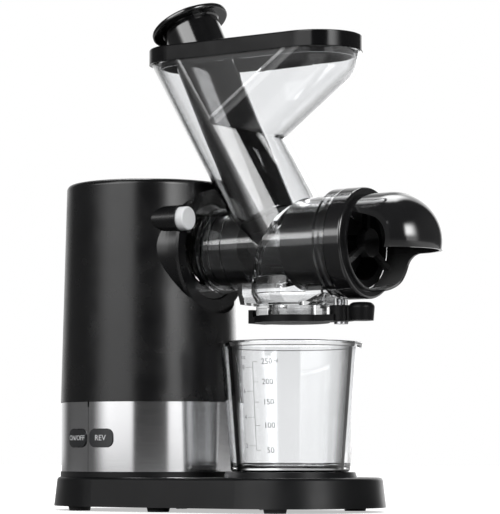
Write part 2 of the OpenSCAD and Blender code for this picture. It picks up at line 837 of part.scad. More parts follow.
can_front = case_back - 0.1;
can_back = can_front - can_length;
can_sheet = 1.5;
magnet_radius = can_radius - can_sheet - 0.1;
core_radius = magnet_radius - 4.6;
core_x0 = can_back + 11;
core_x1 = can_front - 8;

module motor_can() {
    color(steel) difference() {
        bar_x(can_back, can_front, can_radius, 0, motor_axis);
        bar_x(can_back - 1, can_front - can_sheet, can_radius - can_sheet, 0, motor_axis);
        bar_x(can_front - 3, can_front + 1, motor_shaft_radius + shaft_gap, 0, motor_axis);
        for (turn = [30:60:330]) along_x(can_front - 3, 0, motor_axis) rotate(turn)
            translate([can_radius * 0.6, 0]) cylinder(h = 5, r = 2.6, $fn = 32);
    }
}

module motor_end_cap() {
    color(black) difference() {
        union() {
            bar_x(can_back + 0.2, can_back + 2.6, can_radius - can_sheet - 0.1, 0, motor_axis);
            bar_x(can_back - 3.5, can_back + 1, 7, 0, motor_axis);
            for (side = [-1, 1])
                translate([can_back + 2, side * 11.5 - 4.5, motor_axis - 4])
                    cube([6, 9, 8]);
        }
        bar_x(can_back - 5, can_back + 9, motor_shaft_radius + shaft_gap, 0, motor_axis);
        for (side = [-1, 1])
            translate([can_back + 3.4, side * 11.5 - 10, motor_axis - 2.6]) cube([3.3, 20, 5.2]);
    }
}

module field_magnets() {
    color([0.25, 0.25, 0.27]) for (turn = [0, 180])
        along_x(core_x0 - 1, 0, motor_axis) rotate(turn) linear_extrude(core_x1 - core_x0 + 2)
            intersection() {
                difference() {
                    circle(magnet_radius);
                    circle(core_radius + 0.6);
                }
                polygon([[0, 0], [60, -75], [60, 75]]);
            }
}

module carbon_brushes() {
    reach = commutator_radius + 0.15;
    color([0.2, 0.2, 0.2]) for (side = [-1, 1])
        translate([can_back + 3.5, side * (reach + 4.5) - 4.5, motor_axis - 2.5])
            cube([3, 9, 5]);
}

commutator_radius = 6;

module rotor_shaft() {
    color(steel) {
        bar_x(can_back - 3, layer_a + e, motor_shaft_radius, 0, motor_axis);
        along_x(layer_a, 0, motor_axis) linear_extrude(layer_width)
            gear_shape(first_module, pinion_teeth, tooth_up(pinion_teeth));
    }
}

slots = 5;

module rotor_core() {
    color([0.45, 0.45, 0.47]) along_x(core_x0, 0, motor_axis)
        linear_extrude(core_x1 - core_x0) difference() {
            circle(core_radius);
            circle(motor_shaft_radius + 0.03);
            for (i = [0:slots - 1]) rotate(i * 360 / slots) {
                translate([core_radius * 0.66, 0]) circle(core_radius * 0.22);
                translate([core_radius * 0.8, -0.9]) square([core_radius * 0.3, 1.8]);
            }
        }
}

module rotor_windings() {
    color([0.72, 0.38, 0.18]) {
        for (i = [0:slots - 1]) along_x(core_x0 - 2.5, 0, motor_axis)
            rotate(i * 360 / slots) translate([core_radius * 0.66, 0])
                cylinder(h = core_x1 - core_x0 + 5, r = core_radius * 0.22 - 0.1, $fn = 48);
        for (x = [core_x0 - 2.6, core_x1 + 0.1]) difference() {
            bar_x(x, x + 2.5, core_radius - 1.6, 0, motor_axis);
            bar_x(x - 1, x + 4, core_radius * 0.42, 0, motor_axis);
        }
    }
}

module commutator() {
    color([0.75, 0.45, 0.22]) difference() {
        bar_x(can_back + 3, core_x0 - 3, commutator_radius, 0, motor_axis);
        bar_x(can_back, core_x0, motor_shaft_radius + 0.03, 0, motor_axis);
        for (i = [0:slots - 1]) along_x(can_back + 2.9, 0, motor_axis)
            rotate(i * 360 / slots + 36) translate([commutator_radius - 0.8, -0.25, 0])
                cube([2, 0.5, core_x0 - can_back]);
    }
}

module cooling_fan() {
    fan_x = core_x1 + 3;
    color(black) difference() {
        union() {
            bar_x(fan_x, fan_x + 3, motor_shaft_radius + 2.5, 0, motor_axis);
            bar_x(fan_x, fan_x + 0.8, core_radius - 2, 0, motor_axis);
            for (turn = [0:40:320]) along_x(fan_x + 0.7, 0, motor_axis) rotate(turn)
                translate([motor_shaft_radius + 2, -0.4, 0])
                    cube([core_radius - motor_shaft_radius - 5, 0.8, 2.3]);
        }
        bar_x(fan_x - 1, fan_x + 5, motor_shaft_radius + 0.03, 0, motor_axis);
    }
}

// ---------------------------------------------------------------- drum

// Puts a shape drawn along +Z on the leaning axis of the chute
module on_chute() {
    translate([chute_meet, 0, axis_height]) rotate([0, -chute_lean, 0]) children();
}

// All that lies in front of the slanted step between the two barrel parts
module before_step(shift) {
    translate([step_x + shift, 0, axis_height]) rotate([0, step_lean, 0])
        translate([0, -60, -90]) cube([120, 120, 180]);
}

// All that lies above the two lower edges of the chute
module above_edges(lift) {
    low = axis_height - apex_drop + lift;
    rotate([90, 0, 0]) translate([0, 0, -60]) linear_extrude(120)
        polygon([[apex_x, low], [apex_x + 60, low], [apex_x + 60, mouth_height + 40],
                 [-60, mouth_height + 40], [apex_x - 160, low + 160 * tan(arm_slope)]]);
}

// The funnel part of the hopper: a sloping round front wall with a knee, and flat sides
module hopper_body(inset, lift) {
    radius = chute_radius - inset;
    intersection() {
        union() {
            translate([hopper_x1, 0, knee_height]) sphere(radius);
            translate([hopper_x1, 0, knee_height]) rotate([0, hopper_slope - 180, 0])
                cylinder(h = (knee_height - cross_z) / cos(hopper_slope), r = radius);
            rotate([90, 0, 0]) translate([0, 0, 0.15 - radius])
                linear_extrude(2 * radius - 0.3) polygon([
                    [cross_x, cross_z],
                    [hopper_x1, knee_height],
                    [chute_meet - (knee_height - axis_height) * tan(chute_lean), knee_height]]);
        }
        translate([-20, -60, axis_height + 2.6])
            cube([220, 120, hopper_top + lift - axis_height - 2.6]);
    }
}

// Funnel between the front part of the barrel and the outlet flange
module outlet_funnel(inset, lift) {
    low = outlet_height + outlet_flange - lift;
    flare = 7.6 + lift;
    translate([outlet_x, 0, low - e])
        cylinder(h = flare, r1 = outlet_radius - 0.8 - inset, r2 = outlet_radius + 2.6 - inset);
    translate([outlet_x, 0, low + flare - 0.1])
        cylinder(h = 9, r = outlet_radius + 2.6 - inset);
    // shallow trough from below the rear of the barrel to the front flange
    rotate([90, 0, 0]) translate([0, 0, inset - 14]) linear_extrude(28 - 2 * inset) polygon([
        [outlet_x, low], [outlet_x + outlet_radius - 1.2 - inset, low],
        [outlet_x + outlet_radius + 9 - inset, low + flare - 1],
        [outlet_x + outlet_radius + 9 - inset, low + flare + 6],
        [trough_rear + inset, low + flare + 6], [trough_rear + inset, low + flare + 1],
        [trough_rear + 2 + inset, low + 1.6 + lift / 2],
        [outlet_x - outlet_radius + 6, low + lift / 4]]);
}

module juice_drum() {
    color(clear) difference() {
        union() {
            bar_x(drum_start, drum_start + 3, drum_flange_radius);
            bar_x(drum_start, step_x + 12, barrel_radius);
            bar_x(drum_start + 9, drum_start + 11.4, barrel_radius + 1.6);
            bar_x(drum_start + 15, drum_start + 16.2, barrel_radius + 0.7);
            bar_x(drum_start + 23.4, drum_start + 24.2, barrel_radius + 0.5);
            intersection() {
                bar_x(step_x - 20, flange_start + 1, front_radius);
                before_step(0);
            }
            bar_x(flange_start, flange_start + flange_width, flange_radius);
            bar_x(flange_start, neck_end, neck_radius);
            intersection() {
                on_chute() translate([0, 0, -30])
                    cylinder(h = (hopper_top - axis_height) / cos(chute_lean) + 50,
                             r = chute_radius);
                above_edges(0);
                translate([0, -60, 0]) cube([200, 120, hopper_top]);
            }
            hopper_body(0, 0);
            outlet_funnel(0, 0);
            translate([outlet_x, 0, outlet_height])
                cylinder(h = outlet_flange, r = outlet_radius);
            // post of the closing lever and the web that carries it
            translate([pivot_x, 0, hub_top + 0.2])
                cylinder(h = axis_height - flange_radius - hub_top + 2, r = post_radius);
            translate([outlet_x, -1.3, hub_top + 0.2])
                cube([pivot_reach, 2.6, axis_height - front_radius - hub_top + 2]);
        }
        bar_x(rear_wall_end, strainer_start + 1, bore_radius);
        bar_x(drum_start - 1, rear_wall_end + 1, neck_bore);
        bar_x(drum_start - 1, rear_wall_end + 1, latch_pin_radius + 0.4, latch_y, latch_z);
        // the front chamber and the funnel below it lie outside the tube round the auger
        difference() {
            union() {
                intersection() {
                    bar_x(step_x - 20, neck_end + 1, front_bore);
                    before_step(drum_wall);
                }
                outlet_funnel(drum_wall, -drum_wall);
            }
            bar_x(drum_start, strainer_start - 0.3, barrel_radius);
        }
        intersection() {
            on_chute() translate([0, 0, -30])
                cylinder(h = (hopper_top - axis_height) / cos(chute_lean) + 80,
                         r = chute_radius - drum_wall);
            above_edges(drum_wall / cos(arm_slope));
            translate([0, -60, 0]) cube([200, 120, hopper_top + 1]);
        }
        hopper_body(drum_wall, 1);
        translate([outlet_x, 0, outlet_height - 1])
            cylinder(h = axis_height - outlet_height - 10, r = outlet_bore);
        translate([pivot_x, 0, hub_top - 1]) cylinder(h = 5, r = pin_radius + 0.03);
    }
}

module hopper_rim() {
    skirt = chute_radius - drum_wall - 0.6;
    color(black) difference() {
        union() {
            oval(hopper_x0, hopper_x1) polygon(concat(
                [[0, mouth_height], [mouth_radius, mouth_height]],
                arc(mouth_radius - 1, rim_top - 1, 1, 0, 90, 4),
                arc(mouth_radius - rim_wall + 0.8, rim_top - 0.8, 0.8, 90, 180, 3),
                [[mouth_radius - rim_wall, mouth_height + 1.4], [0, mouth_height + 1.4]]));
            // skirt that reaches into the mouth
            oval(hopper_x0 + 5, hopper_x1 - 1.5) polygon([
                [0, mouth_height - 3], [skirt, mouth_height - 3],
                [skirt, mouth_height + 0.5], [0, mouth_height + 0.5]]);
        }
        oval(hopper_x0 + 5, hopper_x1 - 1.5) polygon([
            [0, mouth_height - 4], [skirt - 1.4, mouth_height - 4],
            [skirt - 1.4, mouth_height + 2], [0, mouth_height + 2]]);
    }
}

module strainer_window(grow) {
    for (turn = [-19, 19])
        along_x(strainer_start + 4 - grow, 0, axis_height) rotate(turn)
            translate([0, -5.5 - grow, 0]) cube([40, 11 + 2 * grow, 17 + 2 * grow]);
}

module strainer_cage() {
    color(black) difference() {
        union() {
            bar_x(strainer_start, strainer_end, strainer_outer);
        }
        bar_x(strainer_start - 1, strainer_end + 1, strainer_inner);
        strainer_window(0);
        // room for the mesh inside the windows
        difference() {
            bar_x(strainer_start + 2, strainer_start + 24, strainer_inner + 1);
            bar_x(strainer_start, strainer_end, strainer_inner - 1);
        }
    }
}

module strainer_mesh() {
    mesh_radius = strainer_inner + 0.9;
    color(steel) difference() {
        bar_x(strainer_start + 2.1, strainer_start + 23.9, mesh_radius);
        bar_x(strainer_start, strainer_end, mesh_radius - 0.6);
        for (turn = [-30:10:30], row = [0:4])
            along_x(0, 0, axis_height) rotate(turn)
                translate([mesh_radius - 3, 0, strainer_start + 5.5 + row * 3])
                    rotate([0, 90, 0]) cylinder(h = 6, r = 0.7, $fn = 16);
    }
}

module valve_pin() {
    color(steel) {
        translate([pivot_x, 0, plate_low - 1]) cylinder(h = hub_top - plate_low + 5, r = pin_radius);
        translate([pivot_x, 0, plate_low - 1.6]) cylinder(h = 1.2, r = 4);
    }
}

// ---------------------------------------------------------------- auger

flight_lead = 60;
flight_half = 13;

module auger() {
    length = auger_end - hub_end + 3;
    color(black) difference() {
        union() {
            bar_x(drum_start, hub_start + 1, auger_neck);
            bar_x(hub_start, hub_end, auger_radius);
            along_x(hub_end - e, 0, axis_height)
                cylinder(h = auger_end - hub_end, r1 = 9.5, r2 = 15.5);
            bar_x(auger_end - 2, journal_end, journal_radius);
            along_x(hub_end - 3, 0, axis_height)
                linear_extrude(height = length, twist = -360 * length / flight_lead, slices = 36,
                               $fn = 24)
                    for (turn = [100, 280]) rotate(turn) polygon(concat(
                        [[0, 2.5], [0, -2.5]],
                        arc(0, 0, auger_radius, -flight_half, flight_half, 5)));
        }
        along_x(drum_start - 1, 0, axis_height)
            cylinder(h = 18, r = (drive_hexagon / 2 + 0.3) / cos(30), $fn = 6);
    }
}

module auger_seal() {
    color(silicone) difference() {
        bar_x(rear_wall_end + 0.3, hub_start - 0.2, auger_neck + 4);
        bar_x(rear_wall_end, hub_start, auger_neck + 0.05);
    }
}

// ---------------------------------------------------------------- end cap with spout

hood_x = cap_end + hood_straight;

module hood_solid(radius) {
    bar_x(cap_end - 2.5, hood_x, radius);
    translate([hood_x, 0, axis_height]) sphere(radius);
}

// What is left of the hood's lower wall, seen from the side: a short chin with a round corner
module chin_shape() {
    chin = 10.3;
    corner = 8;
    low = axis_height - hood_radius - 1;
    translate([cap_end - 5, low + corner]) square([chin + 5, hood_radius - corner]);
    translate([cap_end - 5, low]) square([chin + 5 - corner, hood_radius]);
    translate([cap_end + chin - corner, low + corner]) circle(corner);
}

module hood_opening() {
    low = axis_height - hood_drop;
    fillet = 7;
    chin = 10.3;
    // side facing the user
    difference() {
        translate([cap_end, -hood_side, axis_height - 50]) rotate(-hood_turn)
            translate([-10, -40, 0]) cube([100, 40, 100]);
        translate([0, -60, 0]) cube([cap_end + 1.5, 120, machine_front + axis_height]);
    }
    // lower quarter on the user's side
    translate([cap_end + 1.5, -50, axis_height - 50]) cube([90, 54, 50 - hood_drop]);
    // front, below the hood's edge, leaving the chin
    rotate([90, 0, 0]) translate([0, 0, -50]) linear_extrude(100) difference() {
        translate([cap_end + 1.5, low - 60]) square([90, 60]);
        chin_shape();
        difference() {
            translate([cap_end + chin - 1, low - fillet]) square(fillet + 1);
            translate([cap_end + chin + fillet, low - fillet]) circle(fillet);
        }
    }
}

module end_cap() {
    inner = neck_radius + slide_gap + 0.1;
    color(black) difference() {
        union() {
            along_x(cap_start, 0, axis_height) rotate_extrude() polygon(concat(
                [[0, 0], [flange_radius, 0]],
                arc(flange_radius - 1.5, cap_width - 1.5, 1.5, 0, 90, 5), [[0, cap_width]]));
            difference() {
                hood_solid(hood_radius);
                hood_opening();
            }
        }
        bar_x(cap_start - 40, cap_start, hood_radius + 1);
        bar_x(cap_start - 1, neck_end + 0.4, inner);
        difference() {
            union() {
                bar_x(cap_start - 1, hood_x, hood_radius - hood_wall);
                translate([hood_x, 0, axis_height]) sphere(hood_radius - hood_wall);
            }
            // three arms that carry the front bearing of the auger
            for (turn = [60:120:300]) along_x(neck_end + 0.6, 0, axis_height) rotate(turn)
                translate([0, -1.5, 0]) cube([hood_radius, 3, 3.2]);
            bar_x(neck_end + 0.6, cap_end + 1.5, journal_radius + 3);
        }
        bar_x(cap_start - 1, journal_end + 0.3, journal_radius + shaft_gap);
    }
}

// ---------------------------------------------------------------- closing lever

module valve_lever() {
    color(black) difference() {
        union() {
            translate([outlet_x, 0, plate_low]) cylinder(h = plate_thickness, r = outlet_radius + 0.7);
            translate([latch_tab_x, -8, plate_low])
                cube([pivot_x - latch_tab_x, 16, plate_thickness]);
            translate([latch_tab_x, -8, plate_low]) cube([latch_tab, 16, plate_thickness + 4]);
            translate([pivot_x, 0, plate_low]) cylinder(h = hub_top - plate_low, r = hub_radius);
            translate([pivot_x, -3.4, plate_low])
                cube([knob_x - pivot_x, 6.8, hub_top - plate_low - 0.6]);
            translate([knob_x, 0, plate_low]) rotate_extrude() polygon(concat(
                [[0, 0], [knob_radius - 0.6, 0]],
                arc(knob_radius - 3, hub_top - plate_low - 1.6, 3, 0, 90, 6),
                [[0, hub_top - plate_low + 1.4]]));
        }
        translate([outlet_x, 0, plate_top - 1]) cylinder(h = 3, r = pad_radius + 0.1);
        translate([pivot_x, 0, plate_low - 1])
            cylinder(h = hub_top - plate_low + 2, r = pin_radius + shaft_gap);
        translate([pivot_x, 0, plate_low - 1]) cylinder(h = 1.1, r = 4.2);
    }
}

module valve_pad() {
    color(silicone) difference() {
        translate([outlet_x, 0, plate_top - 0.9]) cylinder(h = 0.95, r = pad_radius);
    }
}

// ---------------------------------------------------------------- pusher

// Puts a shape drawn along +Z on the pusher's axis, from its lower end
module on_pusher() {
    translate([pusher_x, 0, mouth_height]) rotate([0, -pusher_lean, 0])
        translate([0, 0, -pusher_depth]) children();
}

module pusher() {
    length = pusher_depth + pusher_rise;
    saddle = auger_radius + 0.4;
    color(black) difference() {
        on_pusher() rotate_extrude() polygon(concat(
            [[0, 0]],
            arc(pusher_radius - 1.5, 1.5, 1.5, -90, 0, 4),
            [[pusher_radius, length - pusher_flange - 0.8],
             [pusher_radius + 0.8, length - pusher_flange]],
            arc(pusher_flange_radius - 1.2, length - pusher_flange + 1.2, 1.2, -90, 0, 4),
            arc(pusher_flange_radius - 1, length - 1, 1, 0, 90, 4),
            [[pusher_radius - pusher_wall + 0.6, length],
             [pusher_radius - pusher_wall, length - 0.6], [0, length - 0.6]]));
        // the hollow ends above the saddle that fits over the auger
        difference() {
            on_pusher() translate([0, 0, 2]) cylinder(h = length, r = pusher_radius - pusher_wall);
            bar_x(drum_start, flange_start, saddle + 2.5);
        }
        bar_x(drum_start, flange_start, saddle);
    }
}

// ---------------------------------------------------------------- cup

module juice_cup() {
    foot = seat_top + seat_gap;
    lip = 3.2;
    slope = (cup_top_radius - cup_foot_radius) / (cup_height - lip);
    color(clear) translate([cup_reach, 0, foot]) rotate_extrude() polygon(concat(
        [[0, 0.6], [cup_foot_radius - 4, 0.6], [cup_foot_radius - 4.6, 0]],
        [[cup_foot_radius - 1, 0], [cup_foot_radius, 1]],
        [[cup_top_radius, cup_height - lip], [cup_lip_radius - 0.6, cup_height - lip]],
        arc(cup_lip_radius - 0.9, cup_height - 0.9, 0.9, 0, 90, 4),
        [[cup_top_radius - cup_wall + 0.6, cup_height],
         [cup_top_radius - cup_wall, cup_height - 0.8]],
        [[cup_foot_radius - cup_wall + slope * 5, 5]],
        arc(cup_foot_radius - cup_wall - 2, 4.4, 2, 0, -90, 4),
        [[0, 2.4]]));
}

// ---------------------------------------------------------------- nodes

place() base_tray();
place() bottom_plate();
place() rubber_feet();
place() base_screws();
place() inner_frame();
place() steel_band();
place() housing_shell();
place() cord_gland();
place() power_button();
place() reverse_button();
place() switch_board();
place() release_button();
place() latch_arm();
place() release_spring();
place() gear_case();
place() gear_cover();
place() gear_screws();
place() idler_pins();
place() shaft_bushes();
place() socket_seal();
place() motor_can();
place() motor_end_cap();
place() field_magnets();
place() carbon_brushes();
place() rotor_shaft();
place() rotor_core();
place() rotor_windings();
place() commutator();
place() cooling_fan();
place() first_idler();
place() second_idler();
place() output_gear();
place() drive_shaft();
place() juice_drum();
place() hopper_rim();
place() strainer_cage();
place() strainer_mesh();
place() valve_pin();
place() auger();
place() auger_seal();
place() end_cap();
place() valve_lever();
place() valve_pad();
place() pusher();
place() juice_cup();
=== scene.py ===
"""Cold press juicer: the looks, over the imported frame. Lengths are in metres."""
import json
import math

import bmesh
import bpy
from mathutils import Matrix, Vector


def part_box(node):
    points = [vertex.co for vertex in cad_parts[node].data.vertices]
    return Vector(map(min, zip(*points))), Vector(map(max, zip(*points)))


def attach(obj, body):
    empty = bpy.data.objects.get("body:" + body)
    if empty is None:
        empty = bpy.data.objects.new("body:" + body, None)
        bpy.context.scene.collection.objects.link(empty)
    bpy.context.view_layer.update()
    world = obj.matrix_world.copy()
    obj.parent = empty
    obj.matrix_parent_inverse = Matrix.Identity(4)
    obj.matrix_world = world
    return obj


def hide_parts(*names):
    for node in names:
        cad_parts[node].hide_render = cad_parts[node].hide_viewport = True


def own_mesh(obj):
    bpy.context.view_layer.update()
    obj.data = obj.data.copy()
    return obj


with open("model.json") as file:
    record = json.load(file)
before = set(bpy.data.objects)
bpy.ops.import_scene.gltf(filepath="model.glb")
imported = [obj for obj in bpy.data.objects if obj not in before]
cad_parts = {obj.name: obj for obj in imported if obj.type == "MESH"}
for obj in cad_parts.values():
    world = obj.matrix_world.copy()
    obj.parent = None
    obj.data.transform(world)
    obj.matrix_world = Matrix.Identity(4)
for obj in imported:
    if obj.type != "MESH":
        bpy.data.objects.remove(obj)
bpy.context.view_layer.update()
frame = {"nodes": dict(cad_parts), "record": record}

# ------------------------------------------------------------------ places on the part

HOUSING_X = -0.0689            # upright axis of the housing
AXIS_Z = 0.1474                # height of the barrel's axis, which runs along X
CUP_X = 0.098 + HOUSING_X      # upright axis of the cup
CUP_FOOT_Z = 0.0232
CUP_FOOT_R = 0.0332
CUP_TAPER = 0.0841             # what the cup's radius gains with each metre of height
CUP_HEIGHT = 0.0710
LIP_HALF = 0.0016
LIP_Z = CUP_FOOT_Z + CUP_HEIGHT - LIP_HALF


def cup_radius(z):
    return CUP_FOOT_R + (z - CUP_FOOT_Z) * CUP_TAPER


# ------------------------------------------------------------------ node helpers

NOISE_LOW, NOISE_HIGH = 0.35, 0.65     # most of a noise texture lies between these


def calc(tree, op, first, second=None, third=None):
    """A Math node; its inputs are sockets or numbers."""
    node = tree.nodes.new("ShaderNodeMath")
    node.operation = op
    for socket, value in zip(node.inputs, (first, second, third)):
        if value is None:
            continue
        if isinstance(value, (int, float)):
            socket.default_value = value
        else:
            tree.links.new(value, socket)
    return node.outputs[0]


def square_sum(tree, a, b):
    return calc(tree, "ADD", calc(tree, "MULTIPLY", a, a), calc(tree, "MULTIPLY", b, b))


def map_range(tree, value, start, end, low, high, kind="LINEAR"):
    """Goes evenly from low to high as the value goes from start to end."""
    node = tree.nodes.new("ShaderNodeMapRange")
    node.interpolation_type = kind
    node.inputs["From Min"].default_value = start
    node.inputs["From Max"].default_value = end
    node.inputs["To Min"].default_value = low
    node.inputs["To Max"].default_value = high
    tree.links.new(value, node.inputs["Value"])
    return node.outputs["Result"]


def fade(tree, value, start, end, low=0.0, high=1.0):
    """Goes from low to high with soft ends."""
    return map_range(tree, value, start, end, low, high, "SMOOTHSTEP")


def noise(tree, scale, detail, stretch=(1, 1, 1), rough=0.5):
    coord = tree.nodes.new("ShaderNodeTexCoord")
    mapping = tree.nodes.new("ShaderNodeMapping")
    mapping.inputs["Scale"].default_value = stretch
    tex = tree.nodes.new("ShaderNodeTexNoise")
    tex.inputs["Scale"].default_value = scale
    tex.inputs["Detail"].default_value = detail
    tex.inputs["Roughness"].default_value = rough
    tree.links.new(coord.outputs["Object"], mapping.inputs["Vector"])
    tree.links.new(mapping.outputs["Vector"], tex.inputs["Vector"])
    return tex.outputs["Fac"]


def noise_range(tree, source, low, high):
    return map_range(tree, source, NOISE_LOW, NOISE_HIGH, low, high)


def tint(tree, source, dark, light, start=NOISE_LOW, end=NOISE_HIGH):
    """A colour that goes from dark to light with a noise."""
    node = tree.nodes.new("ShaderNodeValToRGB")
    stops = node.color_ramp.elements
    for stop, place, colour in zip(stops, (start, end), (dark, light)):
        stop.position = place
        stop.color = (*colour, 1)
    tree.links.new(source, node.inputs["Fac"])
    return node.outputs["Color"]


def bump(tree, bsdf, source, strength, depth):
    node = tree.nodes.new("ShaderNodeBump")
    node.inputs["Strength"].default_value = strength
    node.inputs["Distance"].default_value = depth
    tree.links.new(source, node.inputs["Height"])
    tree.links.new(node.outputs["Normal"], bsdf.inputs["Normal"])


def axes(tree):
    """The sockets of X, Y and Z in the shared frame."""
    coord = tree.nodes.new("ShaderNodeTexCoord")
    parts = tree.nodes.new("ShaderNodeSeparateXYZ")
    tree.links.new(coord.outputs["Object"], parts.inputs[0])
    return parts.outputs["X"], parts.outputs["Y"], parts.outputs["Z"]


def along(tree, vector, kind="Generated"):
    """How far the coordinates reach along a direction."""
    coord = tree.nodes.new("ShaderNodeTexCoord")
    node = tree.nodes.new("ShaderNodeVectorMath")
    node.operation = "DOT_PRODUCT"
    node.inputs[1].default_value = vector
    tree.links.new(coord.outputs[kind], node.inputs[0])
    return node.outputs["Value"]


def find(tree, kind):
    return next(node for node in tree.nodes if node.type == kind)


# ------------------------------------------------------------------ materials

MATERIALS = {}


def new_material(name):
    mat = bpy.data.materials.new(name)
    MATERIALS[name] = mat
    mat.use_nodes = True
    tree = mat.node_tree
    tree.nodes.clear()
    out = tree.nodes.new("ShaderNodeOutputMaterial")
    bsdf = tree.nodes.new("ShaderNodeBsdfPrincipled")
    tree.links.new(bsdf.outputs["BSDF"], out.inputs["Surface"])
    return tree, bsdf


def plastic(name, dark, light, rough, grain=900, strength=0.12, depth=0.00006, spread=0.04,
            specular=0.5):
    """Moulded plastic with faint cloudiness, a fine grain and uneven gloss."""
    tree, bsdf = new_material(name)
    cloud = noise(tree, scale=22, detail=4)
    tree.links.new(tint(tree, cloud, dark, light), bsdf.inputs["Base Color"])
    wear = noise(tree, scale=60, detail=5)
    tree.links.new(noise_range(tree, wear, rough - spread, rough + spread),
                   bsdf.inputs["Roughness"])
    bump(tree, bsdf, noise(tree, scale=grain, detail=2), strength, depth)
    bsdf.inputs["Specular IOR Level"].default_value = specular


def metal(name, dark, light, rough, stretch=(1, 1, 1), grain=400, strength=0.1,
          depth=0.00003, spread=0.06):
    """Metal whose grain is drawn out across the axes with a high stretch."""
    tree, bsdf = new_material(name)
    bsdf.inputs["Metallic"].default_value = 1.0
    grainy = noise(tree, scale=grain, detail=6, stretch=stretch, rough=0.65)
    tree.links.new(tint(tree, grainy, dark, light, start=0.3, end=0.7),
                   bsdf.inputs["Base Color"])
    tree.links.new(noise_range(tree, grainy, rough - spread, rough + spread),
                   bsdf.inputs["Roughness"])
    bump(tree, bsdf, grainy, strength, depth)


CLEAR_TINT = (0.985, 0.992, 1.0)


def clear(name, shades, ior=1.55, specular=0.5, coat=0.0):
    """Clear moulded plastic. shades gives (facing, grey) pairs of a shade painted into its
    colour, darker where the wall is seen at a slant, standing in for the dark reflections and
    refractions of a thick wall."""
    tree, bsdf = new_material(name)
    facing = tree.nodes.new("ShaderNodeLayerWeight")
    facing.inputs["Blend"].default_value = 0.5
    shade = tree.nodes.new("ShaderNodeValToRGB")
    stops = shade.color_ramp.elements
    while len(stops) < len(shades):
        stops.new(0.5)
    for stop, (place, grey) in zip(stops, shades):
        stop.position = place
        stop.color = (*(grey * part for part in CLEAR_TINT), 1)
    tree.links.new(facing.outputs["Facing"], shade.inputs["Fac"])
    tree.links.new(shade.outputs["Color"], bsdf.inputs["Base Color"])
    bsdf.inputs["Transmission Weight"].default_value = 1.0
    bsdf.inputs["IOR"].default_value = ior
    bsdf.inputs["Specular IOR Level"].default_value = specular
    bsdf.inputs["Coat Weight"].default_value = coat
    bsdf.inputs["Coat Roughness"].default_value = 0.02
    bsdf.inputs["Coat IOR"].default_value = 1.36
    flow = noise(tree, scale=70, detail=2, stretch=(1, 1, 0.5))
    tree.links.new(noise_range(tree, flow, low=0.012, high=0.028), bsdf.inputs["Roughness"])
    bump(tree, bsdf, flow, strength=0.05, depth=0.0002)


def printed(name, dark, light):
    """Matt ink."""
    tree, bsdf = new_material(name)
    ink = noise(tree, scale=900, detail=3)
    tree.links.new(tint(tree, ink, dark, light), bsdf.inputs["Base Color"])
    bsdf.inputs["Roughness"].default_value = 0.5


def circuit_board(name, dark, light):
    tree, bsdf = new_material(name)
    weave = noise(tree, scale=300, detail=4)
    tree.links.new(tint(tree, weave, dark, light), bsdf.inputs["Base Color"])
    bsdf.inputs["Roughness"].default_value = 0.35
    bump(tree, bsdf, weave, strength=0.2, depth=0.0001)


# the materials of the record's slots
plastic("charcoal_plastic", (0.0048, 0.0049, 0.0054), (0.0060, 0.0062, 0.0067), rough=0.29,
        grain=1400, depth=0.00004, spread=0.008, specular=0.35)
plastic("black_plastic", (0.0034, 0.0034, 0.0038), (0.0048, 0.0048, 0.0052), rough=0.25,
        grain=1600, strength=0.06, depth=0.00003, specular=0.45)
plastic("inner_black", (0.005, 0.005, 0.0055), (0.009, 0.009, 0.0095), rough=0.32,
        grain=700, strength=0.15, depth=0.00008)
plastic("rubber", (0.010, 0.010, 0.011), (0.016, 0.016, 0.017), rough=0.75,
        grain=2200, strength=0.3, depth=0.0001)
plastic("button_plastic", (0.010, 0.011, 0.012), (0.016, 0.017, 0.019), rough=0.34,
        grain=1800, depth=0.00004)
plastic("grey_button", (0.70, 0.71, 0.72), (0.79, 0.80, 0.81), rough=0.38,
        grain=1500, depth=0.00005)
plastic("nylon", (0.74, 0.72, 0.64), (0.84, 0.82, 0.75), rough=0.48,
        grain=500, strength=0.15, depth=0.0001)
plastic("silicone", (0.52, 0.52, 0.50), (0.62, 0.62, 0.60), rough=0.55,
        grain=800, strength=0.15, depth=0.0001)
plastic("carbon", (0.02, 0.02, 0.02), (0.05, 0.05, 0.05), rough=0.6,
        strength=0.4, depth=0.0002)
plastic("ferrite", (0.05, 0.05, 0.055), (0.09, 0.09, 0.10), rough=0.55,
        grain=700, strength=0.4, depth=0.0002)
metal("band_steel", (0.60, 0.60, 0.61), (0.68, 0.68, 0.69), rough=0.14, stretch=(1, 1, 90),
      grain=60, strength=0.05, depth=0.00002, spread=0.02)
metal("plain_steel", (0.52, 0.52, 0.54), (0.66, 0.66, 0.68), rough=0.26)
metal("bronze", (0.45, 0.28, 0.12), (0.60, 0.40, 0.20), rough=0.4)
metal("lamination", (0.20, 0.20, 0.21), (0.36, 0.36, 0.37), rough=0.4, stretch=(60, 1, 1),
      grain=60, strength=0.4, depth=0.0002)
metal("copper", (0.55, 0.22, 0.08), (0.78, 0.36, 0.16), rough=0.35, stretch=(1, 30, 30),
      grain=60, strength=0.5, depth=0.0003)
circuit_board("board_green", (0.01, 0.10, 0.04), (0.02, 0.20, 0.08))
# clear plastic whose colour holds a painted shade, greyer where the wall is seen at a slant
clear("clear_plastic", ((0.0, 0.99), (0.45, 0.97), (0.68, 0.40), (0.86, 0.30), (0.95, 0.08)),
      ior=1.38, coat=1.0)

